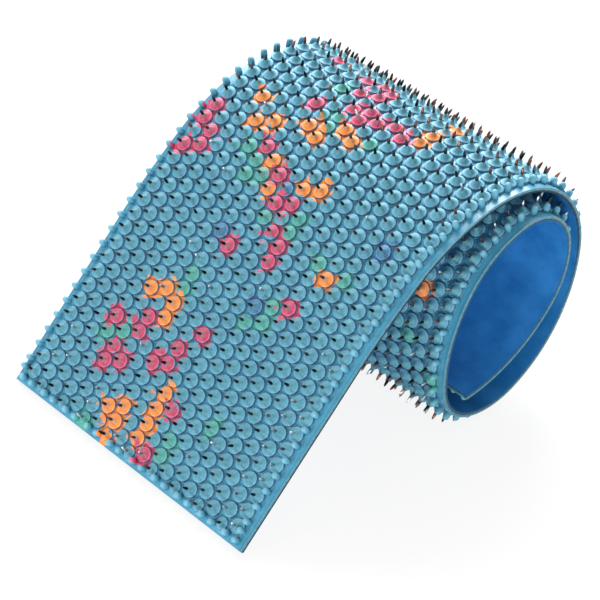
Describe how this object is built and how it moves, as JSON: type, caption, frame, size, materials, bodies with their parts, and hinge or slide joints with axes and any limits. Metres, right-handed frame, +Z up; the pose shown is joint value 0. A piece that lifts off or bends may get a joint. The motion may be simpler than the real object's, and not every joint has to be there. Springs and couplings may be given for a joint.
{
  "type": "needle massage mat",
  "caption": "Flexible rubber needle massage mat, partly rolled with its nubbed needle face outwards, standing on one end.",
  "frame": {"origin": "middle of the footprint, on the table, as the mat stands rolled up in the picture", "axes": "+Z up, +X from the ramp towards the roll, Y across the mat along the roll"},
  "size_m": [0.158, 0.1234, 0.0955],
  "materials": {
    "face_rubber": "matte, light teal-blue with scattered colour splashes",
    "back_rubber": "smooth satin, deeper blue",
    "needle_steel": "dark metal",
    "needle_copper": "copper plated",
    "needle_silver": "bright plated"
  },
  "bodies": {
    "strip_01": {"face_strip_01": "face_rubber", "needle_bed_01": "needle_steel", "back_strip_01": "back_rubber"},
    "strip_02": {"face_strip_02": "face_rubber", "needle_bed_02": "needle_steel", "back_strip_02": "back_rubber"},
    "strip_03": {"face_strip_03": "face_rubber", "needle_bed_03": "needle_steel", "back_strip_03": "back_rubber"},
    "strip_04": {"face_strip_04": "face_rubber", "needle_bed_04": "needle_steel", "back_strip_04": "back_rubber"},
    "strip_05": {"face_strip_05": "face_rubber", "needle_bed_05": "needle_steel", "back_strip_05": "back_rubber"},
    "strip_06": {"face_strip_06": "face_rubber", "needle_bed_06": "needle_steel", "back_strip_06": "back_rubber"},
    "strip_07": {"face_strip_07": "face_rubber", "needle_bed_07": "needle_steel", "back_strip_07": "back_rubber"},
    "strip_08": {"face_strip_08": "face_rubber", "needle_bed_08": "needle_steel", "back_strip_08": "back_rubber"},
    "strip_09": {"face_strip_09": "face_rubber", "needle_bed_09": "needle_steel", "back_strip_09": "back_rubber"},
    "strip_10": {"face_strip_10": "face_rubber", "needle_bed_10": "needle_steel", "back_strip_10": "back_rubber"},
    "strip_11": {"face_strip_11": "face_rubber", "needle_bed_11": "needle_steel", "back_strip_11": "back_rubber"},
    "strip_12": {"face_strip_12": "face_rubber", "needle_bed_12": "needle_steel", "back_strip_12": "back_rubber"},
    "strip_13": {"face_strip_13": "face_rubber", "needle_bed_13": "needle_steel", "back_strip_13": "back_rubber"},
    "strip_14": {"face_strip_14": "face_rubber", "needle_bed_14": "needle_steel", "back_strip_14": "back_rubber"},
    "strip_15": {"face_strip_15": "face_rubber", "needle_bed_15": "needle_steel", "back_strip_15": "back_rubber"},
    "strip_16": {"face_strip_16": "face_rubber", "needle_bed_16": "needle_steel", "back_strip_16": "back_rubber"},
    "strip_17": {"face_strip_17": "face_rubber", "needle_bed_17": "needle_steel", "back_strip_17": "back_rubber"}
  },
  "joints": [
    {"name": "bend_01", "type": "hinge", "parent": "strip_02", "child": "strip_01", "pos_m": [-0.03203, 0, 0.04879], "axis": [0, 1, 0], "range_deg": [0, 4.5]},
    {"name": "bend_02", "type": "hinge", "parent": "strip_03", "child": "strip_02", "pos_m": [-0.00184, 0, 0.07587], "axis": [0, 1, 0], "range_deg": [0, 15.75]},
    {"name": "bend_03", "type": "hinge", "parent": "strip_04", "child": "strip_03", "pos_m": [0.02402, 0, 0.08857], "axis": [0, 1, 0], "range_deg": [0, 22.12]},
    {"name": "bend_04", "type": "hinge", "parent": "strip_05", "child": "strip_04", "pos_m": [0.04128, 0, 0.08979], "axis": [0, 1, 0], "range_deg": [0, 24.12]},
    {"name": "bend_05", "type": "hinge", "parent": "strip_06", "child": "strip_05", "pos_m": [0.05747, 0, 0.08386], "axis": [0, 1, 0], "range_deg": [0, 27.38]},
    {"name": "bend_06", "type": "hinge", "parent": "strip_07", "child": "strip_06", "pos_m": [0.06911, 0, 0.07117], "axis": [0, 1, 0], "range_deg": [0, 27.62]},
    {"name": "bend_07", "type": "hinge", "parent": "strip_08", "child": "strip_07", "pos_m": [0.07355, 0, 0.05451], "axis": [0, 1, 0], "range_deg": [0, 29.5]},
    {"name": "bend_08", "type": "hinge", "parent": "strip_09", "child": "strip_08", "pos_m": [0.06633, 0, 0.02681], "axis": [0, 1, 0], "range_deg": [0, 34]},
    {"name": "bend_09", "type": "hinge", "parent": "strip_10", "child": "strip_09", "pos_m": [0.04494, 0, 0.00794], "axis": [0, 1, 0], "range_deg": [0, 39.5]},
    {"name": "bend_10", "type": "hinge", "parent": "strip_10", "child": "strip_11", "pos_m": [0.02229, 0, 0.00719], "axis": [0, -1, 0], "range_deg": [0, 47.75]},
    {"name": "bend_11", "type": "hinge", "parent": "strip_11", "child": "strip_12", "pos_m": [0.00802, 0, 0.02411], "axis": [0, -1, 0], "range_deg": [0, 50.5]},
    {"name": "bend_12", "type": "hinge", "parent": "strip_12", "child": "strip_13", "pos_m": [0.01516, 0, 0.06323], "axis": [0, -1, 0], "range_deg": [0, 43]},
    {"name": "bend_13", "type": "hinge", "parent": "strip_13", "child": "strip_14", "pos_m": [0.03782, 0, 0.08009], "axis": [0, -1, 0], "range_deg": [0, 48.75]},
    {"name": "bend_14", "type": "hinge", "parent": "strip_14", "child": "strip_15", "pos_m": [0.05425, 0, 0.07656], "axis": [0, -1, 0], "range_deg": [0, 50.25]},
    {"name": "bend_15", "type": "hinge", "parent": "strip_15", "child": "strip_16", "pos_m": [0.06209, 0, 0.06161], "axis": [0, -1, 0], "range_deg": [0, 46.25]},
    {"name": "bend_16", "type": "hinge", "parent": "strip_16", "child": "strip_17", "pos_m": [0.05487, 0, 0.04015], "axis": [0, -1, 0], "range_deg": [0, 45.5]}
  ],
  "couplings": [
    {"joint": "bend_01", "follows": "bend_09", "ratio": 0.1139},
    {"joint": "bend_02", "follows": "bend_09", "ratio": 0.3987},
    {"joint": "bend_03", "follows": "bend_09", "ratio": 0.5601},
    {"joint": "bend_04", "follows": "bend_09", "ratio": 0.6107},
    {"joint": "bend_05", "follows": "bend_09", "ratio": 0.693},
    {"joint": "bend_06", "follows": "bend_09", "ratio": 0.6993},
    {"joint": "bend_07", "follows": "bend_09", "ratio": 0.7468},
    {"joint": "bend_08", "follows": "bend_09", "ratio": 0.8607},
    {"joint": "bend_10", "follows": "bend_09", "ratio": 1.2088},
    {"joint": "bend_11", "follows": "bend_09", "ratio": 1.2784},
    {"joint": "bend_12", "follows": "bend_09", "ratio": 1.0886},
    {"joint": "bend_13", "follows": "bend_09", "ratio": 1.2341},
    {"joint": "bend_14", "follows": "bend_09", "ratio": 1.2721},
    {"joint": "bend_15", "follows": "bend_09", "ratio": 1.1708},
    {"joint": "bend_16", "follows": "bend_09", "ratio": 1.1518}
  ]
}
